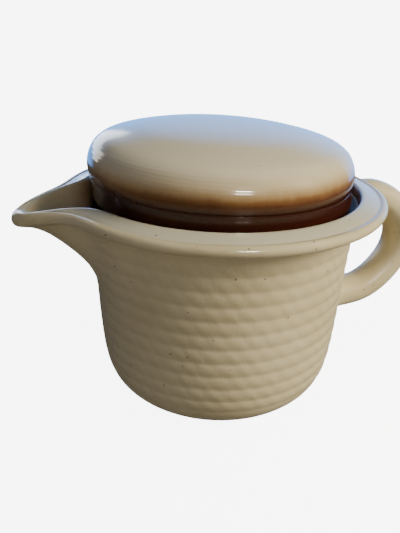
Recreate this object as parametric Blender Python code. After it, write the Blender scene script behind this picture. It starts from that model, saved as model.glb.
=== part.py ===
# Stoneware teapot with a pulled beak lip, a knobless lid and a lift-out steel infuser basket.
# Metres, +Z up. The origin is the centre of the flat base. The beak points along -X, the handle along +X.
import math

import bmesh
import bpy
from mathutils import Matrix, Vector

MM = 0.001
NAME = "teapot_infuser"

# ---- driving dimensions, millimetres ----
BASE_R = 37.0               # flat unglazed foot
RIM_R = 82.0                # widest point of the rolled rim
RIM_TOP = 114.4             # highest point of the rim
LEDGE_Z = 108.6             # gallery ledge inside the rim
MOUTH_R = 60.0              # clear mouth below the ledge
FLOOR_Z = 6.0               # inside floor
BEAK_R = 104.0              # beak tip from the axis
BEAK_SPREAD = 10.7          # half-angle over which the lip is pulled, degrees
CHANNEL_SPREAD = 12.0       # the same for the channel inside the lip
SHOULDER_IN = 20.0          # the gallery ledge is fully cut away within this half-angle
SHOULDER_OUT = 38.0         # and whole again from here
GAP = 0.3                   # clearance between touching pieces

HANDLE_W = 20.0             # handle width
HANDLE_T = 16.0             # handle thickness

FLANGE_T = 0.6              # spun steel sheet
FLANGE_R = 63.5
COLLAR_R = 50.6             # outside of the infuser collar
COLLAR_DROP = 12.0
BASKET_BOTTOM = 29.4
MESH_T = 0.6                # stands for the woven mesh
HOOP_H = 7.0
STRAP_W = 7.0
STRAP_T = 0.7

LID_R = 66.0                # widest point of the lid
BAND_R = 64.8               # lid band above the gallery
LID_WALL = 5.0
LID_TOP = 143.8

EAR_Y = 52.0                # inner face of a bail ear
EAR_T = 1.2
EAR_W = 9.0
PIVOT_Z = 112.6
WIRE_R = 1.0
BAIL_HALF = 46.0            # legs of the bail either side of the axis
BAIL_H = 20.0
BAIL_CORNER = 12.0

# derived heights
FLANGE_Z = LEDGE_Z + GAP
FLANGE_TOP = FLANGE_Z + FLANGE_T
BAND_Z = FLANGE_TOP + GAP
COLLAR_IN = COLLAR_R - FLANGE_T
MESH_R = COLLAR_IN - GAP
EAR_Z = FLANGE_TOP + GAP


# ---- scene and shared helpers ----

for old in list(bpy.data.objects):
    bpy.data.objects.remove(old)

parts = bpy.data.collections.new(NAME)
bpy.context.scene.collection.children.link(parts)
cutters = bpy.data.collections.new("cutters")
cutters.hide_render = True
bpy.context.scene.collection.children.link(cutters)


def material(name, colour, roughness, metallic=0.0):
    mat = bpy.data.materials.new(name)
    mat.use_nodes = True
    shader = mat.node_tree.nodes["Principled BSDF"]
    shader.inputs["Base Color"].default_value = (*colour, 1.0)
    shader.inputs["Roughness"].default_value = roughness
    shader.inputs["Metallic"].default_value = metallic
    return mat


def glaze_cream():
    return material("cream_glaze", (0.56, 0.50, 0.36), 0.25)


def glaze_brown():
    return material("brown_glaze", (0.12, 0.04, 0.02), 0.15)


def steel(name):
    return material(name, (0.62, 0.61, 0.59), 0.3, 1.0)


def add_object(name, bm, mat, smooth=True, angle=40.0):
    bmesh.ops.recalc_face_normals(bm, faces=bm.faces)
    mesh = bpy.data.meshes.new(name)
    bm.to_mesh(mesh)
    bm.free()
    obj = bpy.data.objects.new(name, mesh)
    parts.objects.link(obj)
    mesh.materials.append(mat)
    for face in mesh.polygons:
        face.use_smooth = smooth
    if smooth:
        mesh.set_sharp_from_angle(angle=math.radians(angle))
    return obj


def revolve(name, profile, mat, steps=72, angle=40.0):
    """A closed section of (radius, height) millimetres spun about Z."""
    bm = bmesh.new()
    verts = [bm.verts.new((r * MM, 0.0, z * MM)) for r, z in profile]
    edges = [bm.edges.new((verts[i], verts[(i + 1) % len(verts)])) for i in range(len(verts))]
    bmesh.ops.spin(bm, geom=verts + edges, cent=(0, 0, 0), axis=(0, 0, 1),
                   angle=math.tau, steps=steps, use_merge=True)
    bmesh.ops.remove_doubles(bm, verts=bm.verts, dist=1e-6)
    bmesh.ops.dissolve_degenerate(bm, edges=bm.edges, dist=1e-7)
    return add_object(name, bm, mat, angle=angle)


def box(name, centre, size, mat, bevel=0.0, turn=0.0):
    bm = bmesh.new()
    bmesh.ops.create_cube(bm, size=1.0)
    bmesh.ops.scale(bm, verts=bm.verts, vec=Vector(size) * MM)
    if bevel:
        bmesh.ops.bevel(bm, geom=bm.edges, offset=bevel * MM, segments=2, profile=0.5,
                        affect='EDGES')
    bmesh.ops.translate(bm, verts=bm.verts, vec=Vector(centre) * MM)
    bmesh.ops.rotate(bm, verts=bm.verts, cent=(0, 0, 0),
                     matrix=Matrix.Rotation(math.radians(turn), 3, 'Z'))
    return add_object(name, bm, mat)


def cut(obj, cutter):
    """Boolean difference, applied; the cutter stays in its own hidden collection."""
    mod = obj.modifiers.new("cut", 'BOOLEAN')
    mod.operation = 'DIFFERENCE'
    mod.solver = 'EXACT'
    mod.object = cutter
    for coll in list(cutter.users_collection):
        coll.objects.unlink(cutter)
    cutters.objects.link(cutter)
    cutter.display_type = 'WIRE'
    cutter.hide_render = True


# ---- pot body: thrown wall, rolled rim, gallery ledge and the pulled beak ----

# Each row: plain section, section at the beak's shoulders, section on the beak's centre line.
WALL = (
    ((37.0, 0.0), (37.0, 0.0), (37.0, 0.0)),
    ((41.5, 1.2), (41.5, 1.2), (41.5, 1.2)),
    ((47.0, 3.8), (47.0, 3.8), (47.0, 3.8)),
    ((53.0, 7.8), (53.0, 7.8), (53.0, 7.8)),
    ((57.4, 12.6), (57.4, 12.6), (57.4, 12.6)),
    ((60.2, 18.5), (60.2, 18.5), (60.2, 18.5)),
    ((62.0, 26.0), (62.0, 26.0), (62.0, 26.0)),
    ((63.2, 36.0), (63.2, 36.0), (63.2, 36.0)),
    ((64.2, 50.0), (64.2, 50.0), (64.2, 50.0)),
    ((65.0, 64.0), (65.0, 64.0), (65.0, 64.0)),
    ((65.5, 72.0), (65.7, 72.0), (66.4, 71.5)),
    ((65.9, 79.0), (66.6, 79.0), (70.6, 79.5)),
    ((66.4, 86.0), (67.8, 86.0), (76.5, 86.2)),
    ((66.9, 92.5), (69.4, 92.5), (82.5, 91.8)),
    ((67.5, 98.5), (71.2, 98.5), (88.0, 96.2)),
    ((68.2, 103.5), (73.0, 103.0), (92.5, 98.7)),
    ((70.5, 106.6), (75.0, 106.2), (96.0, 99.9)),
    ((76.0, 107.2), (78.0, 107.0), (99.5, 100.4)),
)
ROLL = (
    ((80.2, 107.4), (80.2, 107.4), (102.2, 101.0)),
    ((81.6, 108.6), (81.6, 108.6), (103.6, 102.4)),
    ((RIM_R, 110.3), (RIM_R, 110.3), (BEAK_R, 104.6)),
    ((81.4, 111.8), (81.4, 111.8), (103.4, 106.6)),
    ((80.0, 112.6), (80.0, 112.6), (102.4, 107.7)),
    ((78.9, 112.5), (78.9, 112.5), (101.7, 108.0)),
    ((78.2, 112.3), (78.2, 112.3), (101.2, 108.1)),
)
CREST = (
    ((76.8, 112.8), (76.8, 112.8), (100.7, 108.2)),
    ((72.0, 114.1), (72.0, 114.1), (99.6, 108.2)),
    ((70.0, RIM_TOP), (70.0, RIM_TOP), (98.4, 107.9)),
)
INSIDE = (
    ((68.9, 113.8), (68.6, 113.6), (97.0, 107.0)),
    ((68.4, 111.5), (67.6, 111.0), (94.0, 105.2)),
    ((68.2, 108.8), (66.6, 107.6), (90.5, 103.0)),
    ((66.0, LEDGE_Z), (65.7, 104.0), (86.5, 100.0)),
    ((63.0, LEDGE_Z), (64.7, 100.0), (82.0, 96.0)),
    ((60.6, LEDGE_Z - 0.1), (63.9, 95.5), (77.0, 91.0)),
    ((MOUTH_R, LEDGE_Z - 1.0), (63.0, 90.5), (71.5, 85.0)),
    ((60.2, 100.0), (62.2, 85.0), (66.0, 79.5)),
    ((60.9, 88.0), (61.5, 79.0), (62.6, 74.0)),
    ((60.9, 76.0), (60.9, 72.0), (60.9, 68.0)),
    ((60.0, 60.0), (60.0, 60.0), (60.0, 60.0)),
    ((59.0, 44.0), (59.0, 44.0), (59.0, 44.0)),
    ((57.2, 28.0), (57.2, 28.0), (57.2, 28.0)),
    ((55.0, 20.0), (55.0, 20.0), (55.0, 20.0)),
    ((51.5, 13.5), (51.5, 13.5), (51.5, 13.5)),
    ((46.0, 9.0), (46.0, 9.0), (46.0, 9.0)),
    ((38.0, FLOOR_Z + 0.6), (38.0, FLOOR_Z + 0.6), (38.0, FLOOR_Z + 0.6)),
    ((20.0, FLOOR_Z), (20.0, FLOOR_Z), (20.0, FLOOR_Z)),
)


def section_at(degrees):
    """The pot's (radius, height) section at an angle from the beak's centre line."""
    away = abs(degrees)
    outer = math.exp(-(away / BEAK_SPREAD) ** 1.8)
    inner = math.exp(-(away / CHANNEL_SPREAD) ** 2)
    ramp = min(1.0, max(0.0, (SHOULDER_OUT - away) / (SHOULDER_OUT - SHOULDER_IN)))
    shoulder = ramp * ramp * (3.0 - 2.0 * ramp)
    rows = [(row, outer) for row in WALL + ROLL]
    rows += [(row, 0.5 * (outer + inner)) for row in CREST[:1]]
    rows += [(row, inner) for row in CREST[1:] + INSIDE]
    lip_first = len(WALL) - 1
    lip_last = len(WALL + ROLL + CREST) - 1
    section = []
    for number, ((plain, side, beak), pull) in enumerate(rows):
        from_lip = max(lip_first - number, number - lip_last, 0)
        drop = pull ** (1.0 + 0.7 * max(0.0, 1.0 - from_lip / 4.0))
        section.append((
            plain[0] + shoulder * (side[0] - plain[0]) + pull * (beak[0] - side[0]),
            plain[1] + shoulder * (side[1] - plain[1]) + drop * (beak[1] - side[1])))
    return section


def pot_body():
    """Ring of radial sections, closer together at the beak, closed by the foot and the floor."""
    columns = 72
    bm = bmesh.new()
    rings = []
    for step in range(columns):
        turn = math.tau * step / columns
        angle = turn - 0.55 * math.sin(turn)
        degrees = math.degrees(angle if angle < math.pi else angle - math.tau)
        ring = [bm.verts.new((-r * MM * math.cos(angle), -r * MM * math.sin(angle), z * MM))
                for r, z in section_at(degrees)]
        rings.append(ring)
    for step in range(columns):
        here, there = rings[step], rings[(step + 1) % columns]
        for low in range(len(here) - 1):
            bm.faces.new((here[low], there[low], there[low + 1], here[low + 1]))
    foot = bm.verts.new((0.0, 0.0, 0.0))
    floor = bm.verts.new((0.0, 0.0, FLOOR_Z * MM))
    for step in range(columns):
        here, there = rings[step], rings[(step + 1) % columns]
        bm.faces.new((foot, there[0], here[0]))
        bm.faces.new((floor, here[-1], there[-1]))
    return add_object("pot_body", bm, glaze_cream(), angle=50.0)


# ---- handle: a pulled oval bar luted under the rim and low on the wall ----

HANDLE_PATH = ((60.0, 98.5), (68.0, 100.2), (75.0, 102.0), (81.5, 103.4), (87.5, 103.6),
               (92.5, 102.4), (97.5, 100.0), (102.0, 96.6), (106.0, 91.8), (109.0, 85.5),
               (110.3, 78.5), (109.8, 72.0), (107.6, 65.4), (104.0, 59.6), (99.5, 54.5),
               (94.0, 50.1), (87.5, 46.8), (80.0, 45.3), (72.0, 45.1), (56.0, 45.1))


def handle():
    bm = bmesh.new()
    sides = 20
    rings = []
    path = [Vector((x, 0.0, z)) for x, z in HANDLE_PATH]
    for i, point in enumerate(path):
        before = path[max(i - 1, 0)]
        after = path[min(i + 1, len(path) - 1)]
        along = (after - before).normalized()
        out = Vector((along.z, 0.0, -along.x))
        ring = []
        for k in range(sides):
            turn = math.tau * k / sides
            side = math.copysign(abs(math.cos(turn)) ** 0.9, math.cos(turn)) * HANDLE_W / 2
            up = math.copysign(abs(math.sin(turn)) ** 0.9, math.sin(turn)) * HANDLE_T / 2
            ring.append(bm.verts.new((point + Vector((0, side, 0)) + out * up) * MM))
        rings.append(ring)
    for here, there in zip(rings, rings[1:]):
        for k in range(sides):
            nxt = (k + 1) % sides
            bm.faces.new((here[k], here[nxt], there[nxt], there[k]))
    bm.faces.new(rings[0])
    bm.faces.new(rings[-1])
    obj = add_object("handle", bm, glaze_cream())
    outline = [(r + GAP, z) for (r, z), _, _ in WALL[3:-2]]
    outline += [(r + GAP, z - GAP - 0.1) for (r, z), _, _ in WALL[-2:] + ROLL[:2]]
    outline += [(RIM_R + 1.2 * GAP, 110.4), (80.0, 113.5), (80.0, 120.0)]
    solid = [(0.0, WALL[3][0][1])] + outline + [(0.0, 120.0)]
    cutter = revolve("handle_cutter", solid, glaze_cream())
    cut(obj, cutter)
    return obj


# ---- lid: a thrown puck with a narrow band, standing on the infuser flange ----

def lid():
    inner = BAND_R - LID_WALL
    outline = [(inner + 0.8, BAND_Z), (BAND_R - 0.8, BAND_Z), (BAND_R, BAND_Z + 0.8),
               (BAND_R, 113.5), (BAND_R, 118.0), (BAND_R - 0.5, 119.2),
               (BAND_R + 0.4, 120.8), (LID_R - 0.2, 122.6), (LID_R, 124.4),
               (LID_R - 0.4, 127.5), (LID_R - 1.5, 131.0), (LID_R - 3.7, 134.4),
               (58.0, 137.3), (50.3, 139.6), (38.0, 142.0), (20.0, 143.4), (0.0, LID_TOP)]
    hollow = [(0.0, LID_TOP - LID_WALL), (20.0, 138.4), (35.0, 137.0), (47.0, 135.0),
              (55.0, 132.6), (58.6, 129.5), (inner, 125.0), (inner, BAND_Z + 0.8)]
    return revolve("lid", outline + hollow, glaze_brown())


# ---- infuser: spun rim, woven mesh wall and floor, foot hoop, straps ----

def infuser_rim():
    bottom = FLANGE_Z - COLLAR_DROP
    section = [(COLLAR_IN, bottom), (COLLAR_R, bottom), (COLLAR_R, FLANGE_Z),
               (FLANGE_R - 0.2, FLANGE_Z), (FLANGE_R, FLANGE_Z + 0.2),
               (FLANGE_R, FLANGE_TOP - 0.2), (FLANGE_R - 0.2, FLANGE_TOP),
               (COLLAR_IN + 0.5, FLANGE_TOP), (COLLAR_IN, FLANGE_TOP - 0.5)]
    return revolve("infuser_rim", section, steel("rim_steel"))


def infuser_mesh_wall():
    low = BASKET_BOTTOM + FLANGE_T + GAP
    top = FLANGE_TOP - 3.0
    section = [(MESH_R - MESH_T, low), (MESH_R, low), (MESH_R, top), (MESH_R - MESH_T, top)]
    return revolve("infuser_mesh_wall", section, steel("wall_mesh_steel"))


def infuser_mesh_floor():
    low = BASKET_BOTTOM + FLANGE_T + GAP
    edge = MESH_R - MESH_T - GAP
    section = [(0.0, low), (edge, low), (edge, low + MESH_T), (0.0, low + MESH_T)]
    return revolve("infuser_mesh_floor", section, steel("floor_mesh_steel"))


def infuser_foot_hoop():
    top = BASKET_BOTTOM + HOOP_H
    base = BASKET_BOTTOM + FLANGE_T
    section = [(COLLAR_R - 4.0, BASKET_BOTTOM), (COLLAR_R - 0.6, BASKET_BOTTOM),
               (COLLAR_R, BASKET_BOTTOM + 0.6), (COLLAR_R, top), (COLLAR_IN, top),
               (COLLAR_IN, base), (COLLAR_R - 4.0, base)]
    return revolve("infuser_foot_hoop", section, steel("hoop_steel"))


def infuser_straps():
    low = BASKET_BOTTOM + 1.5
    top = FLANGE_Z - 2.0
    for number, turn in enumerate((45.0, 135.0, 225.0, 315.0), start=1):
        centre = (COLLAR_R + GAP + STRAP_T / 2, 0.0, (low + top) / 2)
        box(f"infuser_strap_{number}", centre, (STRAP_T, STRAP_W, top - low),
            steel(f"strap_steel_{number}"), 0.15, turn)


# ---- bail: two riveted ears and a low wire loop that hangs inside the basket ----

def bail_ear(side, name):
    """An L bent from strip, its foot on the flange and its upright bored for the wire."""
    foot = 6.5
    height = 6.4
    inner = EAR_Y
    outline = [(inner, 0.0), (inner + foot, 0.0), (inner + foot, EAR_T),
               (inner + EAR_T, EAR_T), (inner + EAR_T, height), (inner, height)]
    bm = bmesh.new()
    verts = [bm.verts.new((-EAR_W / 2 * MM, side * y * MM, (EAR_Z + z) * MM)) for y, z in outline]
    face = bm.faces.new(verts)
    grown = bmesh.ops.extrude_face_region(bm, geom=[face])
    moved = [item for item in grown["geom"] if isinstance(item, bmesh.types.BMVert)]
    bmesh.ops.translate(bm, verts=moved, vec=(EAR_W * MM, 0.0, 0.0))
    ear = add_object(f"bail_ear_{name}", bm, steel(f"ear_steel_{name}"), smooth=False)
    hole = bmesh.new()
    turn = Matrix.Translation((0.0, side * (inner + EAR_T / 2) * MM, PIVOT_Z * MM))
    turn = turn @ Matrix.Rotation(math.pi / 2, 4, 'X')
    bmesh.ops.create_cone(hole, cap_ends=True, segments=24, radius1=(WIRE_R + GAP) * MM,
                          radius2=(WIRE_R + GAP) * MM, depth=6 * MM, matrix=turn)
    cutter = add_object(f"ear_cutter_{name}", hole, steel(f"cutter_steel_{name}"))
    cut(ear, cutter)


def ear_rivet(side, name):
    """A domed rivet head on the ear's foot."""
    bm = bmesh.new()
    base = EAR_Z + EAR_T + GAP
    turn = Matrix.Translation((0.0, side * (EAR_Y + 4.9) * MM, (base + 0.5) * MM))
    bmesh.ops.create_cone(bm, cap_ends=True, segments=20, radius1=1.4 * MM, radius2=0.9 * MM,
                          depth=1.0 * MM, matrix=turn)
    add_object(f"ear_rivet_{name}", bm, steel(f"rivet_steel_{name}"))


def bail_wire():
    """Low loop of wire; its origin is on the pivot line."""
    end = EAR_Y + EAR_T + 1.5
    points = [(-end, 0.0), (-BAIL_HALF - 1.5, 0.0), (-BAIL_HALF - 0.4, -0.5), (-BAIL_HALF, -1.6)]
    points.append((-BAIL_HALF, -(BAIL_H - BAIL_CORNER)))
    for k in range(1, 7):
        turn = math.pi / 2 * k / 6
        points.append((-BAIL_HALF + BAIL_CORNER * (1 - math.cos(turn)),
                       -(BAIL_H - BAIL_CORNER) - BAIL_CORNER * math.sin(turn)))
    mirrored = [(-y, z) for y, z in reversed(points)]
    curve = bpy.data.curves.new("bail_wire", 'CURVE')
    curve.dimensions = '3D'
    curve.bevel_depth = WIRE_R * MM
    curve.bevel_resolution = 2
    curve.use_fill_caps = True
    path = curve.splines.new('POLY')
    path.points.add(len(points + mirrored) - 1)
    for slot, (y, z) in zip(path.points, points + mirrored):
        slot.co = (0.0, y * MM, z * MM, 1.0)
    curve.materials.append(steel("bail_steel"))
    obj = bpy.data.objects.new("bail_wire", curve)
    obj.location = (0.0, 0.0, PIVOT_Z * MM)
    parts.objects.link(obj)


pot_body()
handle()
lid()
infuser_rim()
infuser_mesh_wall()
infuser_mesh_floor()
infuser_foot_hoop()
infuser_straps()
for side, name in ((-1, "right"), (1, "left")):
    bail_ear(side, name)
    ear_rivet(side, name)
bail_wire()
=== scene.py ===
import math

import bpy
from mathutils import Matrix, Vector


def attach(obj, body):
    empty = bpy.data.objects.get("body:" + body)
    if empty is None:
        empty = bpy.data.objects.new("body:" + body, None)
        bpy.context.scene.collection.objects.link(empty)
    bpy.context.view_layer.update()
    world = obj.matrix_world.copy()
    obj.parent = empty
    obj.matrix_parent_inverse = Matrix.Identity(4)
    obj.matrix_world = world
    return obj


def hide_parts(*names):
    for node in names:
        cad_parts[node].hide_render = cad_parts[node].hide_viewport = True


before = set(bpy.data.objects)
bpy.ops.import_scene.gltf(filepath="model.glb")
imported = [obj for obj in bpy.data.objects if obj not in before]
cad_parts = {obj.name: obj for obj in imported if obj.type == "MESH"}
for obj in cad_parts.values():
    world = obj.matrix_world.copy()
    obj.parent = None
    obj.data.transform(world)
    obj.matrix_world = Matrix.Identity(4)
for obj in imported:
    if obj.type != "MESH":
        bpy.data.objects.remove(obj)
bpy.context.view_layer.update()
MM = 0.001

# ---------------------------------------------------------------------------------------------
# Viewpoint: someone seated at the table, looking a little down at the pot, the beak to their
# left and swung towards them.
# ---------------------------------------------------------------------------------------------
bpy.ops.object.select_all(action='DESELECT')
SEAT = math.radians(20.0)
SEAT_AWAY = 0.2963
EYE_HEIGHT = 0.1996
LOOK_ASIDE = math.radians(1.98)
LOOK_DOWN = math.radians(23.91)
HEAD_TILT = math.radians(1.44)
look = Matrix.Rotation(LOOK_ASIDE - SEAT, 4, 'Z')
look = look @ Matrix.Rotation(math.radians(90.0) - LOOK_DOWN, 4, 'X')
look = look @ Matrix.Rotation(HEAD_TILT, 4, 'Z')
stand = Vector((-SEAT_AWAY * math.sin(SEAT), -SEAT_AWAY * math.cos(SEAT), EYE_HEIGHT))
bpy.ops.object.camera_add(location=stand)
viewpoint = bpy.context.object
viewpoint.name = "viewpoint"
viewpoint.matrix_world = Matrix.Translation(stand) @ look
viewpoint.data.sensor_width = 36.0
viewpoint.data.lens = 600.0 / 533.0 * 36.0
viewpoint.data.clip_start = 0.01
bpy.context.scene.camera = viewpoint


# ---------------------------------------------------------------------------------------------
# Table and light: a pale matt sweep that glows evenly, a warm broad lamp to the right, a weak
# fill in front, a small bar for the glint on the glaze, and a panel and a blue card behind for
# its sheen. The room is dim, bluer above and warmer to the right.
# ---------------------------------------------------------------------------------------------
class Sock:
    """One output of a shader node; arithmetic on it adds Math nodes."""

    def __init__(self, mix, socket):
        self.mix = mix
        self.socket = socket

    def _math(self, operation, *values):
        return self.mix.node('ShaderNodeMath', {"operation": operation}, dict(enumerate(values)))

    def __add__(self, other):
        return self._math('ADD', self, other)

    def __radd__(self, other):
        return self._math('ADD', other, self)

    def __sub__(self, other):
        return self._math('SUBTRACT', self, other)

    def __rsub__(self, other):
        return self._math('SUBTRACT', other, self)

    def __mul__(self, other):
        return self._math('MULTIPLY', self, other)

    def __rmul__(self, other):
        return self._math('MULTIPLY', other, self)

    def __pow__(self, other):
        return self._math('POWER', self, other)


class Finish:
    """A material under construction: its node tree, its shader and the nodes added to it."""

    def __init__(self, name, **shader):
        self.material = bpy.data.materials.new(name)
        self.material.use_nodes = True
        self.tree = self.material.node_tree
        self.shader = self.tree.nodes["Principled BSDF"]
        for socket, value in shader.items():
            self.shader.inputs[socket.replace("_", " ")].default_value = value

    @classmethod
    def on_tree(cls, tree):
        """The same tools on a tree that isn't a surface's, such as the room's."""
        made = cls.__new__(cls)
        made.tree = tree
        return made

    def node(self, kind, settings=None, inputs=None, out=0):
        made = self.tree.nodes.new(kind)
        for key, value in (settings or {}).items():
            if key == "stops":
                ramp = made.color_ramp
                while len(ramp.elements) < len(value):
                    ramp.elements.new(1.0)
                for stop, (place, colour) in zip(ramp.elements, value):
                    stop.position = place
                    stop.color = (*colour, 1.0)
            else:
                setattr(made, key, value)
        for key, value in (inputs or {}).items():
            if isinstance(value, Sock):
                self.tree.links.new(value.socket, made.inputs[key])
            else:
                made.inputs[key].default_value = value
        return Sock(self, made.outputs[out])

    def feed(self, socket, value):
        self.tree.links.new(value.socket, self.shader.inputs[socket])

    def place(self):
        return self.node('ShaderNodeTexCoord', out="Object")

    def axes(self, vector):
        split = self.node('ShaderNodeSeparateXYZ', inputs={0: vector}).socket.node
        return [Sock(self, split.outputs[k]) for k in range(3)]

    def noise(self, vector, size, detail=3.0, rough=0.5):
        """Cloudy variation; size is the width of one cloud in metres."""
        return self.node('ShaderNodeTexNoise', inputs={
            "Vector": vector, "Scale": 1.0 / size, "Detail": detail, "Roughness": rough})

    def ease(self, value, low, high):
        """0 below low, 1 above high, eased between."""
        return self.node('ShaderNodeMapRange', {"interpolation_type": 'SMOOTHSTEP'},
                         {"Value": value, "From Min": low, "From Max": high})

    def blend(self, factor, first, second):
        """The first colour at factor 0, the second at 1."""
        return self.node('ShaderNodeMix', {"data_type": 'RGBA', "blend_type": 'MIX'},
                         {0: factor, 6: first, 7: second}, out=2)

    def bump(self, height, depth):
        """A surface that rises by depth metres where height is 1."""
        return self.node('ShaderNodeBump', inputs={
            "Height": height, "Distance": depth, "Strength": 1.0})

    def specks(self, vector, density, core, edge):
        """Iron specks in rather more than half of the cells; core and edge are their radii."""
        cells = {"Vector": vector, "Scale": density}
        away = self.node('ShaderNodeTexVoronoi', {"feature": 'F1'}, cells)
        pick = self.node('ShaderNodeTexVoronoi', {"feature": 'F1'}, cells, out="Color")
        return (1.0 - self.ease(away, core, edge)) * self.ease(self.axes(pick)[0], 0.42, 0.44)


table_finish = Finish("pale_table", Roughness=0.9, Emission_Strength=7.0)
grain = table_finish.noise(table_finish.place(), 0.02, 4.0)
table_finish.feed("Base Color", table_finish.blend(
    grain, (0.88, 0.88, 0.88, 1.0), (0.92, 0.92, 0.92, 1.0)))
table_finish.feed("Emission Color", table_finish.blend(
    grain, (0.96, 0.97, 0.98, 1.0), (1.0, 1.0, 1.0, 1.0)))
bpy.ops.mesh.primitive_plane_add(size=8.0, location=(0, 0, 0))
table = bpy.context.object
table.name = "table"
bpy.ops.object.mode_set(mode='EDIT')
bpy.ops.mesh.subdivide(number_cuts=8)
bpy.ops.object.mode_set(mode='OBJECT')
TABLE_FLAT = 1.4
TABLE_RISE = 0.45
for corner in table.data.vertices:
    reach = max(0.0, corner.co.xy.length - TABLE_FLAT)
    corner.co.z = TABLE_RISE * reach * reach
bpy.ops.object.shade_smooth()
table.data.materials.append(table_finish.material)
table.visible_diffuse = False
table.visible_glossy = False

room = bpy.data.worlds.new("room")
bpy.context.scene.world = room
room.use_nodes = True
air = Finish.on_tree(room.node_tree)
toward = air.node('ShaderNodeTexCoord', out="Generated")
east, north, up = air.axes(toward)
shade = air.blend(air.ease(up, -0.3, 0.6), (0.225, 0.205, 0.185, 1.0), (0.25, 0.30, 0.46, 1.0))
right = air.ease(0.940 * east - 0.342 * north, -0.2, 0.9)
shade = air.blend(0.6 * right, shade, (0.66, 0.62, 0.54, 1.0))
air.tree.links.new(shade.socket, room.node_tree.nodes["Background"].inputs["Color"])
room.node_tree.nodes["Background"].inputs["Strength"].default_value = 0.46


VIEWER_HEADING = -110.0
SHOULDER_HEIGHT = 0.08


def lamp(name, bearing, height, reach, size, power, colour, tall=None):
    """A lamp at a bearing to the right of the viewer, aimed at the pot's shoulder."""
    heading = math.radians(VIEWER_HEADING + bearing)
    level = math.radians(height)
    aim = Vector((0.0, 0.0, SHOULDER_HEIGHT))
    place = aim + reach * Vector((math.cos(level) * math.cos(heading),
                                  math.cos(level) * math.sin(heading), math.sin(level)))
    bpy.ops.object.light_add(type='AREA', location=place)
    made = bpy.context.object
    made.name = name
    made.rotation_euler = (place - aim).to_track_quat('Z', 'Y').to_euler()
    made.data.shape = 'RECTANGLE' if tall else 'DISK'
    made.data.size = size
    if tall:
        made.data.size_y = tall
    made.data.energy = power
    made.data.color = colour
    return made


lamp("warm_key", 75.0, 30.0, 1.3, 0.6, 28.0, (1.0, 0.92, 0.74)).visible_glossy = False
lamp("front_fill", 2.0, 12.0, 1.6, 1.2, 5.4, (1.0, 0.92, 0.84)).visible_glossy = False
lamp("spark", 20.0, 23.0, 1.2, 0.20, 9.0, (1.0, 0.95, 0.88), tall=0.045).visible_diffuse = False
lamp("left_panel", -143.0, 12.0, 2.0, 1.5, 12.0, (1.0, 0.97, 0.86), tall=0.6).visible_diffuse = False

bpy.ops.mesh.primitive_plane_add(size=1.0, location=(0.684, 1.880, 0.50),
                                 rotation=(math.radians(90.0), 0.0, math.radians(-20.0)))
card = bpy.context.object
card.name = "sky_card"
bpy.ops.transform.resize(value=(4.6, 4.6, 1.7))
bpy.ops.object.transform_apply(location=True, rotation=True, scale=True)
haze = Finish("sky_card", Roughness=1.0, Specular_IOR_Level=0.0, Emission_Strength=2.4)
height = haze.axes(haze.place())[2]
haze.feed("Emission Color", haze.blend(haze.ease(height, 0.45, 1.35), (0.14, 0.48, 1.22, 1.0),
                                       (0.06, 0.08, 0.12, 1.0)))
haze.feed("Base Color", haze.blend(haze.ease(height, 0.2, 0.6), (0.3, 0.4, 0.5, 1.0),
                                   (0.2, 0.3, 0.4, 1.0)))
card.data.materials.append(haze.material)
card.visible_camera = False
card.visible_diffuse = False
card.visible_shadow = False


# ---------------------------------------------------------------------------------------------
# Pot body: stoneware thrown in one piece, with finger rings left round the wall, a rolled rim
# with a ledge inside it for the basket, and a beak pulled out of the rim while the clay was
# soft. Glazed cream, running to brown inside.
# ---------------------------------------------------------------------------------------------
FOOT_R = 37.0
RIM_R = 82.0
RIM_TOP = 114.4
LEDGE_Z = 108.6
MOUTH_R = 60.0
FLOOR_Z = 6.0
BEAK_R = 104.0
LIP_SPREAD = 10.7
CHANNEL_SPREAD = 12.0
SHOULDER_IN = 20.0
SHOULDER_OUT = 38.0
RING_GAP = 7.45
RING_START = 17.8
RING_DEPTH = 0.5

# Each row: plain section, section at the beak's shoulders, section on its centre line.
WALL = (
    ((30.0, 0.0), (30.0, 0.0), (30.0, 0.0)),
    ((FOOT_R, 0.0), (FOOT_R, 0.0), (FOOT_R, 0.0)),
    ((41.5, 1.2), (41.5, 1.2), (41.5, 1.2)),
    ((47.0, 3.8), (47.0, 3.8), (47.0, 3.8)),
    ((53.0, 7.8), (53.0, 7.8), (53.0, 7.8)),
    ((57.4, 12.6), (57.4, 12.6), (57.4, 12.6)),
    ((60.2, 18.5), (60.2, 18.5), (60.2, 18.5)),
    ((62.0, 26.0), (62.0, 26.0), (62.0, 26.0)),
    ((63.2, 36.0), (63.2, 36.0), (63.2, 36.0)),
    ((64.2, 50.0), (64.2, 50.0), (64.2, 50.0)),
    ((65.0, 64.0), (65.0, 64.0), (65.0, 64.0)),
    ((65.5, 72.0), (65.7, 72.0), (66.4, 71.5)),
    ((65.9, 79.0), (66.6, 79.0), (70.6, 79.5)),
    ((66.4, 86.0), (67.8, 86.0), (76.5, 86.2)),
    ((66.9, 92.5), (69.4, 92.5), (82.5, 91.8)),
    ((67.5, 98.5), (71.2, 98.5), (88.0, 96.2)),
    ((68.2, 103.5), (73.0, 103.0), (92.5, 98.7)),
    ((70.5, 106.6), (75.0, 106.2), (96.0, 99.9)),
    ((76.0, 107.2), (78.0, 107.0), (99.5, 100.4)),
)
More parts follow.
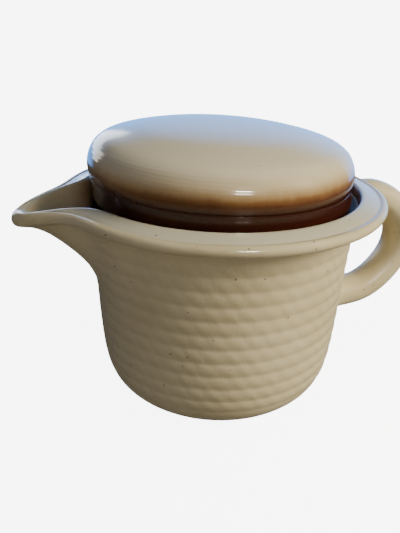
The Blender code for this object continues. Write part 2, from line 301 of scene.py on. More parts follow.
ROLL = (
    ((80.2, 107.4), (80.2, 107.4), (102.2, 101.0)),
    ((81.6, 108.6), (81.6, 108.6), (103.6, 102.4)),
    ((RIM_R, 110.3), (RIM_R, 110.3), (BEAK_R, 104.6)),
    ((81.4, 111.8), (81.4, 111.8), (103.4, 106.6)),
    ((80.0, 112.6), (80.0, 112.6), (102.4, 107.7)),
    ((78.9, 112.5), (78.9, 112.5), (101.7, 108.0)),
    ((78.2, 112.3), (78.2, 112.3), (101.2, 108.1)),
)
CREST = (
    ((76.8, 112.8), (76.8, 112.8), (100.7, 108.2)),
    ((72.0, 114.1), (72.0, 114.1), (99.6, 108.2)),
    ((70.0, RIM_TOP), (70.0, RIM_TOP), (98.4, 107.9)),
)
INSIDE = (
    ((68.9, 113.8), (68.6, 113.6), (97.0, 107.0)),
    ((68.4, 111.5), (67.6, 111.0), (94.0, 105.2)),
    ((68.2, 108.8), (66.6, 107.6), (90.5, 103.0)),
    ((66.0, LEDGE_Z), (65.7, 104.0), (86.5, 100.0)),
    ((63.0, LEDGE_Z), (64.7, 100.0), (82.0, 96.0)),
    ((60.6, LEDGE_Z - 0.1), (63.9, 95.5), (77.0, 91.0)),
    ((MOUTH_R, LEDGE_Z - 1.0), (63.0, 90.5), (71.5, 85.0)),
    ((60.2, 100.0), (62.2, 85.0), (66.0, 79.5)),
    ((60.9, 88.0), (61.5, 79.0), (62.6, 74.0)),
    ((60.9, 76.0), (60.9, 72.0), (60.9, 68.0)),
    ((60.0, 60.0), (60.0, 60.0), (60.0, 60.0)),
    ((59.0, 44.0), (59.0, 44.0), (59.0, 44.0)),
    ((57.2, 28.0), (57.2, 28.0), (57.2, 28.0)),
    ((55.0, 20.0), (55.0, 20.0), (55.0, 20.0)),
    ((51.5, 13.5), (51.5, 13.5), (51.5, 13.5)),
    ((46.0, 9.0), (46.0, 9.0), (46.0, 9.0)),
    ((38.0, FLOOR_Z + 0.6), (38.0, FLOOR_Z + 0.6), (38.0, FLOOR_Z + 0.6)),
    ((20.0, FLOOR_Z), (20.0, FLOOR_Z), (20.0, FLOOR_Z)),
)
ROWS = WALL + ROLL + CREST + INSIDE
LIP_AT = len(WALL + ROLL) - 1
LIP_FIRST = len(WALL) - 1
LIP_LAST = len(WALL + ROLL + CREST) - 1


def eased(value, low, high):
    part = min(1.0, max(0.0, (value - low) / (high - low)))
    return part * part * (3.0 - 2.0 * part)


def curve_point(points, at):
    """A point on the smooth curve through the points, at = whole numbers at the points."""
    k = min(int(at), len(points) - 2)
    t = at - k
    a, b = points[max(k - 1, 0)], points[k]
    c, d = points[k + 1], points[min(k + 2, len(points) - 1)]
    gap = math.dist(b, c)
    lead = [(c[i] - a[i]) * gap / max(math.dist(a, b) + gap, 1e-6) for i in (0, 1)]
    tail = [(d[i] - b[i]) * gap / max(gap + math.dist(c, d), 1e-6) for i in (0, 1)]
    return [b[i] * (1 + 2 * t) * (1 - t) ** 2 + lead[i] * t * (1 - t) ** 2
            + c[i] * t * t * (3 - 2 * t) - tail[i] * t * t * (1 - t) for i in (0, 1)]


def select_none():
    bpy.ops.object.select_all(action='DESELECT')


def turned(name, outline, steps, marks=None):
    """An outline of (radius, height) in millimetres, spun round the upright axis."""
    select_none()
    start = Vector((outline[0][0] * MM, 0.0, outline[0][1] * MM))
    bpy.ops.mesh.primitive_plane_add(size=0.001, location=start)
    made = bpy.context.object
    made.name = name
    made.data.name = name
    bpy.ops.object.mode_set(mode='EDIT')
    bpy.ops.mesh.select_all(action='SELECT')
    bpy.ops.mesh.merge(type='CENTER')
    for here, there in zip(outline, outline[1:]):
        move = ((there[0] - here[0]) * MM, 0.0, (there[1] - here[1]) * MM)
        bpy.ops.mesh.extrude_region_move(TRANSFORM_OT_translate={"value": move})
    bpy.ops.object.mode_set(mode='OBJECT')
    bpy.ops.object.transform_apply(location=True, rotation=False, scale=False)
    if marks:
        row = made.data.attributes.new("row", 'FLOAT', 'POINT')
        for slot, mark in zip(row.data, marks):
            slot.value = mark
    bpy.ops.object.mode_set(mode='EDIT')
    bpy.ops.mesh.select_all(action='SELECT')
    bpy.ops.mesh.spin(steps=steps, angle=math.tau, center=(0, 0, 0), axis=(0, 0, 1))
    bpy.ops.mesh.select_all(action='SELECT')
    bpy.ops.mesh.remove_doubles(threshold=0.000005)
    bpy.ops.mesh.normals_make_consistent(inside=False)
    bpy.ops.object.mode_set(mode='OBJECT')
    bpy.ops.object.shade_smooth()
    return made


def pull(away):
    """How far the lip, the channel and the shoulders are drawn out, at degrees from the beak."""
    outer = math.exp(-(away / LIP_SPREAD) ** 1.8)
    inner = math.exp(-(away / CHANNEL_SPREAD) ** 2)
    return outer, inner, 1.0 - eased(away, SHOULDER_IN, SHOULDER_OUT)


SEEN_STEP = 0.9
HIDDEN_STEP = 2.5
marks = []
for k in range(len(ROWS) - 1):
    span = math.dist(ROWS[k][0], ROWS[k + 1][0])
    step = SEEN_STEP if 3 < k < LIP_AT + 8 else HIDDEN_STEP
    count = max(2, round(span / step))
    marks += [k + n / count for n in range(count)]
marks.append(len(ROWS) - 1.0)
plain_rows = [row[0] for row in ROWS]
side_rows = [row[1] for row in ROWS]
beak_rows = [row[2] for row in ROWS]
paths = {mark: [curve_point(rows, mark) for rows in (plain_rows, side_rows, beak_rows)]
         for mark in marks}
outline = [(0.0, 0.0)] + [paths[mark][0] for mark in marks] + [(0.0, FLOOR_Z)]
FOOT_MARK = -1.0
INSIDE_MARK = -2.0
BEAK_CROWDING = 0.45    # draws the spun sections together at the beak
pot = turned("pot", outline, 240, [FOOT_MARK] + marks + [INSIDE_MARK])

lookup = sorted(paths)
inward = pot.data.attributes.new("inward", 'FLOAT', 'POINT')
for vertex, slot, depth in zip(pot.data.vertices, pot.data.attributes["row"].data, inward.data):
    mark = slot.value
    if mark < 0.0:
        depth.value = 0.0 if mark == FOOT_MARK else 1.0
        continue
    mark = min(lookup, key=lambda known: abs(known - mark))
    plain, side, beak = paths[mark]
    around = math.atan2(-vertex.co.y, -vertex.co.x)
    around = around - BEAK_CROWDING * math.sin(around)
    away = abs(math.degrees(around))
    outer, inner, shoulder = pull(away)
    share = eased(mark, LIP_AT, LIP_AT + 2.0)
    drawn = outer * (1.0 - share) + inner * share
    from_lip = max(LIP_FIRST - mark, mark - LIP_LAST, 0.0)
    drop = drawn ** (1.0 + 0.7 * max(0.0, 1.0 - from_lip / 4.0))
    r = plain[0] + shoulder * (side[0] - plain[0]) + drawn * (beak[0] - side[0])
    z = plain[1] + shoulder * (side[1] - plain[1]) + drop * (beak[1] - side[1])
    if mark < LIP_AT:
        height = plain[1]
        ring = abs(math.sin(math.pi * (height - RING_START) / RING_GAP)) ** 0.9
        fade = eased(height, 14.0, 20.0) * (1.0 - eased(height, 97.0, 101.0))
        fade *= 1.0 - 0.8 * eased(drawn, 0.05, 0.5)
        r += RING_DEPTH * (ring - 0.6) * fade
    vertex.co = (-r * MM * math.cos(around), -r * MM * math.sin(around), z * MM)
    depth.value = eased(mark, LIP_AT + 2.0, LIP_AT + 9.0)
pot.data.update()

cream = Finish("cream_stoneware_glaze", Roughness=0.3, Specular_IOR_Level=0.5)
spot = cream.place()
x, y, z = cream.axes(spot)
cloud = cream.noise(spot, 0.035, 4.0)
wash = cream.noise(spot, 0.009, 3.0)
base = cream.blend(cream.ease(cloud, 0.3, 0.7), (0.560, 0.478, 0.275, 1.0),
                   (0.615, 0.530, 0.325, 1.0))
base = cream.blend(0.25 * cream.ease(wash, 0.45, 0.75), base, (0.50, 0.41, 0.25, 1.0))
lip = cream.node('ShaderNodeAttribute', {"attribute_name": "row"}, out="Fac")
# painted reflection: the rim's top, from the crease in to the inner edge, is coloured a greyer,
# bluer cream for the sky's sheen on it
painted_sky_sheen = cream.ease(lip, LIP_AT - 0.4, LIP_AT + 0.6) * (1.0 - cream.ease(
    lip, LIP_LAST + 0.3, LIP_LAST + 1.2))
base = cream.blend(0.75 * painted_sky_sheen, base, (0.56, 0.535, 0.405, 1.0))
inside = cream.node('ShaderNodeAttribute', {"attribute_name": "inward"}, out="Fac")
radius = (x * x + y * y) ** 0.5
tan = cream.ease(inside + 0.2 * (cloud - 0.5), 0.02, 0.22)
tan = tan * (1.0 - cream.ease(radius + 0.006 * cloud, 0.074, 0.092))
base = cream.blend(tan, base, (0.60, 0.46, 0.26, 1.0))
brown = tan * (1.0 - cream.ease(radius + 0.004 * cloud, 0.066, 0.079))
base = cream.blend(brown, base, (0.36, 0.19, 0.07, 1.0))
dark = tan * (1.0 - cream.ease(radius + 0.002 * cloud, 0.0665, 0.0700))
base = cream.blend(dark, base, (0.045, 0.016, 0.007, 1.0))
speck = cream.specks(spot, 150.0, 0.035, 0.10)
base = cream.blend(speck * 0.75, base, (0.10, 0.06, 0.035, 1.0))
cream.feed("Base Color", base)
satin = 0.36 - 0.22 * cream.ease(z, 0.104, 0.109) + 0.06 * (wash - 0.5)
cream.feed("Roughness", satin + 0.3 * tan)
around = cream.node('ShaderNodeMath', {"operation": 'ARCTAN2'}, {0: y, 1: x})
slant = cream.node('ShaderNodeMath', {"operation": 'SINE'}, {
    0: 46.0 * around + 620.0 * z + 5.0 * cream.noise(spot, 0.02, 2.0)})
thrown = cream.ease(z, 0.014, 0.024) * (1.0 - cream.ease(z, 0.092, 0.102))
thrown = thrown * (1.0 - cream.ease(radius, 0.067, 0.071))
skin = 0.5 * cream.noise(spot, 0.006, 3.0) + 0.25 * cream.noise(spot, 0.0015, 2.0)
skin = skin + thrown * (0.55 * slant * cream.noise(spot, 0.008, 2.0)
                        + 0.3 * cream.noise(spot, 0.009, 2.0))
cream.feed("Normal", cream.bump(skin, 0.00016))
pot.data.materials.append(cream.material)
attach(pot, "pot")
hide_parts("pot_body")


# ---------------------------------------------------------------------------------------------
# Handle: a pulled oval bar of the same clay, bent into a loop and luted on under the rim and
# low on the wall, its ends spread by the thumb; glazed with the pot.
# ---------------------------------------------------------------------------------------------
BAR_W = 20.0
BAR_T = 16.0
LOOP = ((61.5, 98.8), (68.0, 100.2), (75.0, 102.0), (81.5, 103.4), (87.5, 103.6),
        (92.5, 102.4), (97.5, 100.0), (102.0, 96.6), (106.0, 91.8), (109.0, 85.5),
        (110.3, 78.5), (109.8, 72.0), (107.6, 65.4), (104.0, 59.6), (99.5, 54.5),
        (94.0, 50.1), (87.5, 46.8), (80.0, 45.3), (72.0, 45.1), (61.5, 45.1))
STATIONS = 96
JOIN_X = 66.5
JOIN_SPREAD = 0.30
SQUARENESS = 0.9
LOW_LIMB_Z = 80.0
select_none()
bpy.ops.mesh.primitive_circle_add(vertices=40, radius=1.0, fill_type='NGON',
                                  rotation=(0.0, math.pi / 2, 0.0))
bar = bpy.context.object
bar.name = "loop_handle"
bpy.ops.object.transform_apply(location=True, rotation=True, scale=True)
bpy.ops.object.mode_set(mode='EDIT')
bpy.ops.mesh.select_all(action='SELECT')
for station in range(STATIONS):
    bpy.ops.mesh.extrude_region_move(TRANSFORM_OT_translate={"value": (1.0, 0.0, 0.0)})
bpy.ops.object.mode_set(mode='OBJECT')
for vertex in bar.data.vertices:
    at = min(max(vertex.co.x, 0.0), STATIONS) / STATIONS * (len(LOOP) - 1)
    here = curve_point(LOOP, at)
    ahead = curve_point(LOOP, min(at + 0.05, len(LOOP) - 1.0))
    behind = curve_point(LOOP, max(at - 0.05, 0.0))
    along = Vector((ahead[0] - behind[0], 0.0, ahead[1] - behind[1])).normalized()
    out = Vector((-along.z, 0.0, along.x))
    spread = JOIN_SPREAD * math.exp(-max(0.0, here[0] - JOIN_X) / 4.0)
    wide = math.copysign(abs(vertex.co.y) ** SQUARENESS, vertex.co.y) * BAR_W / 2 * (1.0 + spread)
    thick = math.copysign(abs(vertex.co.z) ** SQUARENESS, vertex.co.z) * BAR_T / 2
    thick *= 1.0 + (spread if here[1] < LOW_LIMB_Z else 0.0)
    vertex.co = (Vector((here[0], wide, here[1])) + out * thick) * MM
bpy.ops.object.mode_set(mode='EDIT')
bpy.ops.mesh.select_all(action='SELECT')
bpy.ops.mesh.normals_make_consistent(inside=False)
bpy.ops.object.mode_set(mode='OBJECT')
bpy.ops.object.shade_smooth()
bar.data.materials.append(cream.material)
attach(bar, "pot")
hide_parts("handle")


# ---------------------------------------------------------------------------------------------
# Lid: thrown as a shallow closed puck with a narrow band turned below it, its dome leaning a
# little out of true. The cream glaze on the dome runs down over an iron glaze that is dark
# red-brown at the band.
# ---------------------------------------------------------------------------------------------
FLANGE_Z = LEDGE_Z + 0.3
FLANGE_TOP = FLANGE_Z + 0.6
BAND_R = 64.8
LEAN = 1.9
LEAN_AXIS = Vector((0.342, 0.940, 0.0))
LEAN_FROM = 120.0
LEAN_RISE = 0.7
ASIDE = 1.4
ASIDE_WAY = Vector((-0.940, 0.342, 0.0))
BAND_Z = FLANGE_TOP + 0.3
LID_WALL = 5.0
hollow_r = BAND_R - LID_WALL
LID_SKIN = ((hollow_r + 0.8, BAND_Z), (BAND_R - 0.8, BAND_Z), (BAND_R, BAND_Z + 0.8),
            (BAND_R, 114.0), (BAND_R + 0.1, 117.4), (BAND_R + 0.28, 118.9),
            (BAND_R + 0.2, 119.12), (BAND_R + 0.36, 119.34), (BAND_R + 0.82, 121.4),
            (66.0, 124.0), (65.7, 127.5), (64.5, 131.0), (62.3, 134.4),
            (58.0, 137.3), (50.3, 139.6), (38.0, 142.0), (20.0, 143.4), (0.0, 143.8))
LID_HOLLOW = ((0.0, 138.8), (20.0, 138.4), (35.0, 137.0), (47.0, 135.0), (55.0, 132.6),
              (58.6, 129.5), (hollow_r, 125.0), (hollow_r, BAND_Z + 0.8))
skin_line = []
for k in range(len(LID_SKIN) - 1):
    span = math.dist(LID_SKIN[k], LID_SKIN[k + 1])
    count = max(2, round(span / (0.35 if 122.0 <= LID_SKIN[k][1] < 139.0 else 0.9)))
    for n in range(count):
        r, z = curve_point(LID_SKIN, k + n / count)
        ripple = 0.05 * math.sin(math.tau * (2.0 * z - r) / 3.8) * eased(z, 126.0, 128.0)
        ripple *= 1.0 - eased(z, 134.0, 136.0)
        skin_line.append((r, z + ripple))
skin_line.append(LID_SKIN[-1])
lid = turned("puck_lid", skin_line + list(LID_HOLLOW) + [skin_line[0]], 240)
leaning = Matrix.Translation(ASIDE_WAY * ASIDE * MM)
leaning = leaning @ Matrix.Translation((0.0, 0.0, (LEAN_FROM + LEAN_RISE) * MM))
leaning = leaning @ Matrix.Rotation(math.radians(LEAN), 4, LEAN_AXIS)
leaning = leaning @ Matrix.Translation((0.0, 0.0, -LEAN_FROM * MM))
for vertex in lid.data.vertices:
    share = eased(vertex.co.z / MM, 110.0, 121.0)
    vertex.co = vertex.co.lerp(leaning @ vertex.co, share)

iron = Finish("lid_iron_glaze", Roughness=0.12, Specular_IOR_Level=0.5)
spot = iron.place()
x, y, z = iron.axes(spot)
cloud = iron.noise(spot, 0.03, 4.0)
streak = iron.noise(spot, 0.006, 4.0)
level = z - 0.0004 + 0.0030 * (cloud - 0.5) + 0.0018 * (streak - 0.5)
level = iron.node('ShaderNodeMapRange', inputs={"Value": level, "From Min": 0.116,
                                                "From Max": 0.136})
glaze = iron.node('ShaderNodeValToRGB', {"stops": (
    (0.0, (0.030, 0.007, 0.0035)), (0.20, (0.036, 0.010, 0.0045)),
    (0.34, (0.085, 0.028, 0.009)), (0.46, (0.185, 0.088, 0.029)), (0.58, (0.37, 0.245, 0.112)),
    (0.74, (0.54, 0.435, 0.255)), (1.0, (0.61, 0.54, 0.37)))}, {"Fac": level})
speck = iron.specks(spot, 85.0, 0.02, 0.06)
glaze = iron.blend(speck * 0.85, glaze, (0.05, 0.03, 0.02, 1.0))
iron.feed("Base Color", glaze)
iron.feed("Roughness", 0.10 + 0.06 * cloud)
iron.feed("Normal", iron.bump(iron.noise(spot, 0.005, 2.0), 0.00005))
lid.data.materials.append(iron.material)
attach(lid, "lid")
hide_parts("lid")


# ---------------------------------------------------------------------------------------------
# Infuser rim: one spun stainless sheet, a flat flange that rests on the ledge and a collar
# turned down from it; the edge is rolled smooth and the faces keep fine lathe lines. The outer
# edge of the flange is painted dark brown as shade under the lid.
# ---------------------------------------------------------------------------------------------
SHEET = 0.6
COLLAR_R = 50.6
FLANGE_R = 62.6
COLLAR_LOW = FLANGE_Z - 12.0
collar_in = COLLAR_R - SHEET
section = [(collar_in + 0.1, COLLAR_LOW), (COLLAR_R - 0.1, COLLAR_LOW), (COLLAR_R, COLLAR_LOW + 0.1),
           (COLLAR_R, FLANGE_Z - 0.5), (COLLAR_R + 0.15, FLANGE_Z - 0.15),
           (COLLAR_R + 0.5, FLANGE_Z), (FLANGE_R - 0.3, FLANGE_Z), (FLANGE_R - 0.1, FLANGE_Z + 0.1),
           (FLANGE_R, FLANGE_Z + 0.3), (FLANGE_R - 0.1, FLANGE_TOP - 0.1),
           (FLANGE_R - 0.3, FLANGE_TOP), (collar_in + 1.1, FLANGE_TOP),
           (collar_in + 0.5, FLANGE_TOP - 0.12), (collar_in + 0.12, FLANGE_TOP - 0.5),
           (collar_in, FLANGE_TOP - 1.1), (collar_in, COLLAR_LOW + 0.1)]
rim = turned("basket_rim", section + section[:1], 180)
bpy.ops.object.shade_smooth_by_angle(angle=math.radians(45.0))

spun = Finish("spun_stainless", Metallic=1.0)
spot = spun.place()
x, y, z = spun.axes(spot)
radius = (x * x + y * y) ** 0.5
line = spun.node('ShaderNodeTexNoise', {"noise_dimensions": '1D'},
                 {"W": (radius + z) * 2600.0, "Scale": 1.0, "Detail": 4.0, "Roughness": 0.7})
smear = spun.noise(spot, 0.012, 4.0)
steel = spun.blend(smear, (0.60, 0.59, 0.57, 1.0), (0.70, 0.69, 0.67, 1.0))
# painted shade: the flange's outer edge, where it shows past the lid, is coloured dark brown, less
# metallic and rougher so that it reads as the shadow there
painted_shade_edge = spun.ease(radius + 0.003 * (smear - 0.5), 0.0592, 0.0608)
spun.feed("Base Color", spun.blend(painted_shade_edge, steel, (0.060, 0.026, 0.012, 1.0)))
spun.feed("Metallic", 1.0 - 0.6 * painted_shade_edge)
spun.feed("Roughness", 0.20 + 0.14 * line + 0.12 * smear + 0.3 * painted_shade_edge)
spun.feed("Normal", spun.bump(line, 0.00004))
rim.data.materials.append(spun.material)
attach(rim, "infuser")
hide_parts("infuser_rim")


# ---------------------------------------------------------------------------------------------
# Mesh wall and floor: plain-woven stainless wire cloth, a sheet rolled and lapped for the wall
# and a disc cut for the floor. The weave is in the finish: wires pass over and under, with
# painted shade where they dip, and the holes between them are open.
# ---------------------------------------------------------------------------------------------
BASKET_LOW = 29.4
CLOTH = 0.6
cloth_r = collar_in - 0.3
cloth_low = BASKET_LOW + SHEET + 0.3
PITCH = 0.0011


def woven(name, across, along):
    """Wire cloth: two sets of wires, each rising over every other wire of the other set."""
    made = Finish(name, Metallic=1.0)
    spot = made.place()
    first, second = across(made, spot), along(made, spot)
    wave = [made.node('ShaderNodeMath', {"operation": 'COSINE'}, {0: math.tau / PITCH * run})
            for run in (first, second)]
    swap = [made.node('ShaderNodeMath', {"operation": 'COSINE'}, {0: math.pi / PITCH * run})
            for run in (first, second)]
    wire = [made.ease(one, 0.15, 0.40) for one in wave]
    height = [wire[0] * (0.5 + 0.5 * wave[0]) * (0.65 + 0.35 * swap[1]),
              wire[1] * (0.5 + 0.5 * wave[1]) * (0.65 - 0.35 * swap[1])]
    top = made.node('ShaderNodeMath', {"operation": 'MAXIMUM'}, {0: height[0], 1: height[1]})
    cover = made.node('ShaderNodeMath', {"operation": 'MAXIMUM'}, {0: wire[0], 1: wire[1]})
    dull = made.noise(spot, 0.008, 3.0)
    # painted shade: each wire is coloured darker where it dips under the crossing wire
    made.feed("Base Color", made.blend(top, (0.30, 0.29, 0.27, 1.0), (0.68, 0.67, 0.64, 1.0)))
    made.feed("Roughness", 0.28 + 0.16 * dull)
    made.feed("Alpha", cover)
    made.feed("Normal", made.bump(top, 0.00018))
    return made


def round_run(made, spot):
    """Distance round the wall, with a whole even number of wires so that the weave closes."""
    x, y, z = made.axes(spot)
    turn = made.node('ShaderNodeMath', {"operation": 'ARCTAN2'}, {0: y, 1: x})
    wires = 2 * round(math.pi * cloth_r * MM / PITCH)
    return turn * (wires * PITCH / math.tau)


wall_cloth = woven("woven_wall", round_run, lambda made, spot: made.axes(spot)[2])
floor_cloth = woven("woven_floor", lambda made, spot: made.axes(spot)[0],
                    lambda made, spot: made.axes(spot)[1])
cloth_top = FLANGE_TOP - 3.0
section = [(cloth_r - CLOTH, cloth_low), (cloth_r, cloth_low), (cloth_r, cloth_top),
           (cloth_r - CLOTH, cloth_top)]
cloth_wall = turned("basket_cloth", section + section[:1], 160)
bpy.ops.object.shade_smooth_by_angle(angle=math.radians(45.0))
cloth_wall.data.materials.append(wall_cloth.material)
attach(cloth_wall, "infuser")
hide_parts("infuser_mesh_wall")

select_none()
disc_r = cloth_r - CLOTH - 0.3
bpy.ops.mesh.primitive_cylinder_add(vertices=160, radius=disc_r * MM, depth=CLOTH * MM,
                                    location=(0.0, 0.0, (cloth_low + CLOTH / 2) * MM))
cloth_disc = bpy.context.object
cloth_disc.name = "basket_cloth_floor"
bpy.ops.object.transform_apply(location=True, rotation=True, scale=True)
bpy.ops.object.shade_smooth_by_angle(angle=math.radians(45.0))
cloth_disc.data.materials.append(floor_cloth.material)
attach(cloth_disc, "infuser")
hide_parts("infuser_mesh_floor")


# ---------------------------------------------------------------------------------------------
# Foot hoop: a pressed stainless ring, an L in section, that grips the foot of the wall and
# carries the edge of the floor. Its bend is a press radius and its edges are deburred.
# ---------------------------------------------------------------------------------------------
hoop_top = BASKET_LOW + 7.0
hoop_floor = BASKET_LOW + SHEET
section = [(COLLAR_R - 3.9, BASKET_LOW), (COLLAR_R - 1.1, BASKET_LOW),
           (COLLAR_R - 0.5, BASKET_LOW + 0.12), (COLLAR_R - 0.12, BASKET_LOW + 0.5),
           (COLLAR_R, BASKET_LOW + 1.1), (COLLAR_R, hoop_top - 0.15),
           (COLLAR_R - 0.15, hoop_top), (collar_in + 0.15, hoop_top), (collar_in, hoop_top - 0.15),
           (collar_in, hoop_floor + 0.4), (collar_in - 0.4, hoop_floor),
           (COLLAR_R - 3.9, hoop_floor), (COLLAR_R - 4.0, hoop_floor - 0.15),
           (COLLAR_R - 4.0, BASKET_LOW + 0.15)]
hoop = turned("basket_hoop", section + section[:1], 180)
bpy.ops.object.shade_smooth_by_angle(angle=math.radians(45.0))
hoop.data.materials.append(spun.material)
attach(hoop, "infuser")
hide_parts("infuser_foot_hoop")


# ---------------------------------------------------------------------------------------------
# Straps: four slit stainless strips, curved to the basket and spot-welded to the collar above
# and the hoop below; each weld leaves a shallow round dimple tinted by the heat.
# ---------------------------------------------------------------------------------------------
STRAP_W = 7.0
STRAP_T = 0.7
strap_low = BASKET_LOW + 1.5
strap_top = FLANGE_Z - 2.0
strap_in = COLLAR_R + 0.3
select_none()
bpy.ops.mesh.primitive_cube_add(size=1.0, location=(
    (strap_in + STRAP_T / 2) * MM, 0.0, (strap_low + strap_top) / 2 * MM))
strap = bpy.context.object
strap.name = "basket_strap_1"
bpy.ops.transform.resize(value=(STRAP_T * MM, STRAP_W * MM, (strap_top - strap_low) * MM))
bpy.ops.object.transform_apply(location=True, rotation=True, scale=True)
bpy.ops.object.mode_set(mode='EDIT')
bpy.ops.mesh.select_all(action='SELECT')
bpy.ops.mesh.bevel(offset=0.14 * MM, segments=3, affect='EDGES')
for cut in range(-3, 4):
    bpy.ops.mesh.select_all(action='SELECT')
    bpy.ops.mesh.bisect(plane_co=(0.0, cut * 0.8 * MM, 0.0), plane_no=(0.0, 1.0, 0.0))
bpy.ops.object.mode_set(mode='OBJECT')
for vertex in strap.data.vertices:
    vertex.co.x -= vertex.co.y ** 2 / (2.0 * strap_in * MM) * 0.9
bpy.ops.object.shade_smooth_by_angle(angle=math.radians(40.0))

strip = Finish("rolled_strip", Metallic=1.0)
spot = strip.place()
x, y, z = strip.axes(spot)
brushed = strip.node('ShaderNodeVectorMath', {"operation": 'MULTIPLY'},
                     {0: spot, 1: (1.0, 1.0, 0.03)})
hair = strip.noise(brushed, 0.0003, 3.0)
smear = strip.noise(spot, 0.009, 3.0)
welds = None
for height in (strap_low + 2.7, strap_top - 3.0, strap_top - 7.5):
    turn = strip.node('ShaderNodeMath', {"operation": 'ARCTAN2'}, {0: y, 1: x})
    turn = strip.node('ShaderNodeMath', {"operation": 'MODULO'}, {
        0: turn + 2.0 * math.pi, 1: math.pi / 2})
    aside = (turn - math.pi / 4) * (strap_in * MM)
    away = (aside * aside + (z - height * MM) ** 2.0) ** 0.5
    mark = 1.0 - strip.ease(away, 0.0007, 0.0014)
    welds = mark if welds is None else welds + mark
tone = strip.blend(smear, (0.58, 0.57, 0.55, 1.0), (0.69, 0.68, 0.66, 1.0))
tone = strip.blend(0.65 * welds, tone, (0.36, 0.27, 0.20, 1.0))
strip.feed("Base Color", tone)
strip.feed("Roughness", 0.26 + 0.16 * hair + 0.1 * smear)
strip.feed("Normal", strip.bump(0.15 * hair - 1.0 * welds, 0.00022))
strap.data.materials.append(strip.material)
straps = [strap]
for number in (2, 3, 4):
    select_none()
    strap.select_set(True)
    bpy.context.view_layer.objects.active = strap
    bpy.ops.object.duplicate()
    again = bpy.context.object
    again.name = f"basket_strap_{number}"
    straps.append(again)
for number, piece in enumerate(straps):
    select_none()
    piece.select_set(True)
    bpy.context.view_layer.objects.active = piece
    piece.rotation_euler = (0.0, 0.0, math.radians(45.0 + 90.0 * number))
    bpy.ops.object.transform_apply(location=True, rotation=True, scale=True)
    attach(piece, "infuser")
    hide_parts(f"infuser_strap_{number + 1}")


# ---------------------------------------------------------------------------------------------
# Bail ears: two short strips bent to an L, the upright rounded off and drilled for the wire,
# the foot riveted down on the flange. The same rolled strip as the straps.
# ---------------------------------------------------------------------------------------------
EAR_Y = 52.0
EAR_T = 1.2
EAR_W = 9.0
EAR_LOW = FLANGE_TOP + 0.3
EAR_REACH = 6.5
EAR_TALL = 6.4
PIVOT_Z = 112.6
WIRE_R = 1.0
for side, name in ((-1.0, "right"), (1.0, "left")):
    select_none()
    bpy.ops.mesh.primitive_cube_add(size=1.0, location=(
        0.0, side * (EAR_Y + EAR_REACH / 2) * MM, (EAR_LOW + EAR_T / 2) * MM))
    ear = bpy.context.object
    ear.name = f"basket_ear_{name}"
    bpy.ops.transform.resize(value=(EAR_W * MM, EAR_REACH * MM, EAR_T * MM))
    bpy.ops.object.transform_apply(location=True, rotation=True, scale=True)
    bpy.ops.object.mode_set(mode='EDIT')
    bpy.ops.mesh.select_all(action='SELECT')
    bpy.ops.mesh.bisect(plane_co=(0.0, side * (EAR_Y + EAR_T) * MM, 0.0),
                        plane_no=(0.0, 1.0, 0.0))
    bpy.ops.mesh.select_mode(type='FACE')
    bpy.ops.mesh.select_all(action='DESELECT')
    bpy.ops.object.mode_set(mode='OBJECT')
    for face in ear.data.polygons:
        face.select = face.normal.z > 0.9 and abs(face.center.y) < (EAR_Y + EAR_T) * MM
    bpy.ops.object.mode_set(mode='EDIT')
    bpy.ops.mesh.extrude_region_move(TRANSFORM_OT_translate={
        "value": (0.0, 0.0, (EAR_TALL - EAR_T) * MM)})
    bpy.ops.mesh.select_mode(type='EDGE')
    bpy.ops.mesh.select_all(action='DESELECT')
    bpy.ops.object.mode_set(mode='OBJECT')
    for edge in ear.data.edges:
        ends = [ear.data.vertices[k].co for k in edge.vertices]
        middle = (ends[0] + ends[1]) / 2
        runs_out = abs(ends[0].y - ends[1].y) > 0.5 * MM
        upright = abs(ends[0].z - ends[1].z) > 0.5 * MM
        corner_top = runs_out and middle.z > (EAR_LOW + EAR_TALL - 0.4) * MM
        corner_foot = upright and abs(middle.y) > (EAR_Y + EAR_REACH - 0.5) * MM
        edge.select = (corner_top or corner_foot) and abs(middle.x) > 4.0 * MM
    bpy.ops.object.mode_set(mode='EDIT')
    bpy.ops.mesh.bevel(offset=2.2 * MM, segments=6, affect='EDGES')
    bpy.ops.mesh.select_mode(type='VERT')
    bpy.ops.object.mode_set(mode='OBJECT')
    bpy.ops.mesh.primitive_cylinder_add(vertices=32, radius=(WIRE_R + 0.3) * MM, depth=6.0 * MM,
                                        location=(0.0, side * (EAR_Y + EAR_T / 2) * MM,
                                                  PIVOT_Z * MM),
                                        rotation=(math.pi / 2, 0.0, 0.0))
    drill = bpy.context.object
    hole = ear.modifiers.new("hole", 'BOOLEAN')
    hole.operation = 'DIFFERENCE'
    hole.object = drill
    soften = ear.modifiers.new("soften", 'BEVEL')
    soften.width = 0.12 * MM
    soften.segments = 2
    soften.limit_method = 'ANGLE'
    soften.angle_limit = math.radians(50.0)
    select_none()
    ear.select_set(True)
    bpy.context.view_layer.objects.active = ear
    bpy.ops.object.modifier_apply(modifier="hole")
    bpy.ops.object.modifier_apply(modifier="soften")
    bpy.data.objects.remove(drill)
    bpy.ops.object.shade_smooth_by_angle(angle=math.radians(35.0))
    ear.data.materials.append(strip.material)
    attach(ear, "infuser")
    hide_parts(f"bail_ear_{name}")


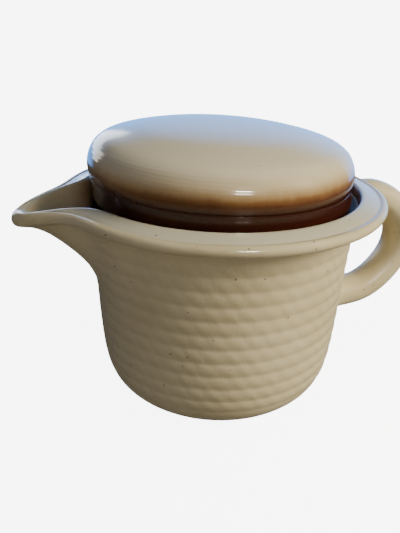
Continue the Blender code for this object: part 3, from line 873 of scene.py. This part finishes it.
# ---------------------------------------------------------------------------------------------
# Ear rivets: one low domed stainless head in each ear's foot, upset by a set that leaves the
# dome smooth.
# ---------------------------------------------------------------------------------------------
polished = Finish("drawn_wire", Metallic=1.0)
spot = polished.place()
smear = polished.noise(spot, 0.004, 3.0)
polished.feed("Base Color", polished.blend(smear, (0.62, 0.61, 0.59, 1.0),
                                           (0.72, 0.71, 0.69, 1.0)))
polished.feed("Roughness", 0.14 + 0.18 * smear)
polished.feed("Normal", polished.bump(polished.noise(spot, 0.0012, 3.0), 0.00003))
head_low = EAR_LOW + EAR_T + 0.3
dome = [(0.0, head_low), (1.3, head_low), (1.4, head_low + 0.1), (1.36, head_low + 0.3),
        (1.2, head_low + 0.56), (0.9, head_low + 0.8), (0.5, head_low + 0.95),
        (0.0, head_low + 1.0)]
for side, name in ((-1.0, "right"), (1.0, "left")):
    rivet = turned(f"basket_rivet_{name}", dome, 32)
    rivet.location = (0.0, side * (EAR_Y + 4.9) * MM, 0.0)
    bpy.ops.object.transform_apply(location=True, rotation=True, scale=True)
    bpy.ops.object.shade_smooth_by_angle(angle=math.radians(50.0))
    rivet.data.materials.append(polished.material)
    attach(rivet, "infuser")
    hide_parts(f"ear_rivet_{name}")


# ---------------------------------------------------------------------------------------------
# Bail: one length of round stainless wire bent into a low loop, its ends turned out through
# the ears. It hangs down inside the basket and swings up to lift it.
# ---------------------------------------------------------------------------------------------
BAIL_HALF = 46.0
BAIL_H = 20.0
BAIL_CORNER = 12.0
END_BEND = 1.6
wire_end = EAR_Y + EAR_T + 1.5
select_none()
bpy.ops.mesh.primitive_circle_add(vertices=24, radius=WIRE_R * MM, fill_type='NGON',
                                  location=(0.0, -wire_end * MM, PIVOT_Z * MM),
                                  rotation=(math.pi / 2, 0.0, 0.0))
bail = bpy.context.object
bail.name = "basket_bail"
bpy.ops.object.transform_apply(location=True, rotation=True, scale=True)
bpy.ops.object.mode_set(mode='EDIT')
bpy.ops.mesh.select_all(action='SELECT')


def run(y, z):
    bpy.ops.mesh.extrude_region_move(TRANSFORM_OT_translate={"value": (0.0, y * MM, z * MM)})


def turn_wire(y, z, degrees):
    bpy.ops.mesh.spin(steps=12, angle=math.radians(degrees), center=(0.0, y * MM, z * MM),
                      axis=(1.0, 0.0, 0.0))


run(wire_end - BAIL_HALF - END_BEND, 0.0)
turn_wire(-BAIL_HALF - END_BEND, PIVOT_Z - END_BEND, 90.0)
run(0.0, -(BAIL_H - BAIL_CORNER - END_BEND))
turn_wire(-BAIL_HALF + BAIL_CORNER, PIVOT_Z - BAIL_H + BAIL_CORNER, -90.0)
run(2.0 * (BAIL_HALF - BAIL_CORNER), 0.0)
turn_wire(BAIL_HALF - BAIL_CORNER, PIVOT_Z - BAIL_H + BAIL_CORNER, -90.0)
run(0.0, BAIL_H - BAIL_CORNER - END_BEND)
turn_wire(BAIL_HALF + END_BEND, PIVOT_Z - END_BEND, 90.0)
run(wire_end - BAIL_HALF - END_BEND, 0.0)
bpy.ops.mesh.select_all(action='SELECT')
bpy.ops.mesh.remove_doubles(threshold=0.000005)
bpy.ops.mesh.normals_make_consistent(inside=False)
bpy.ops.object.mode_set(mode='OBJECT')
bpy.ops.object.shade_smooth_by_angle(angle=math.radians(50.0))
bail.data.materials.append(polished.material)
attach(bail, "bail")
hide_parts("bail_wire")
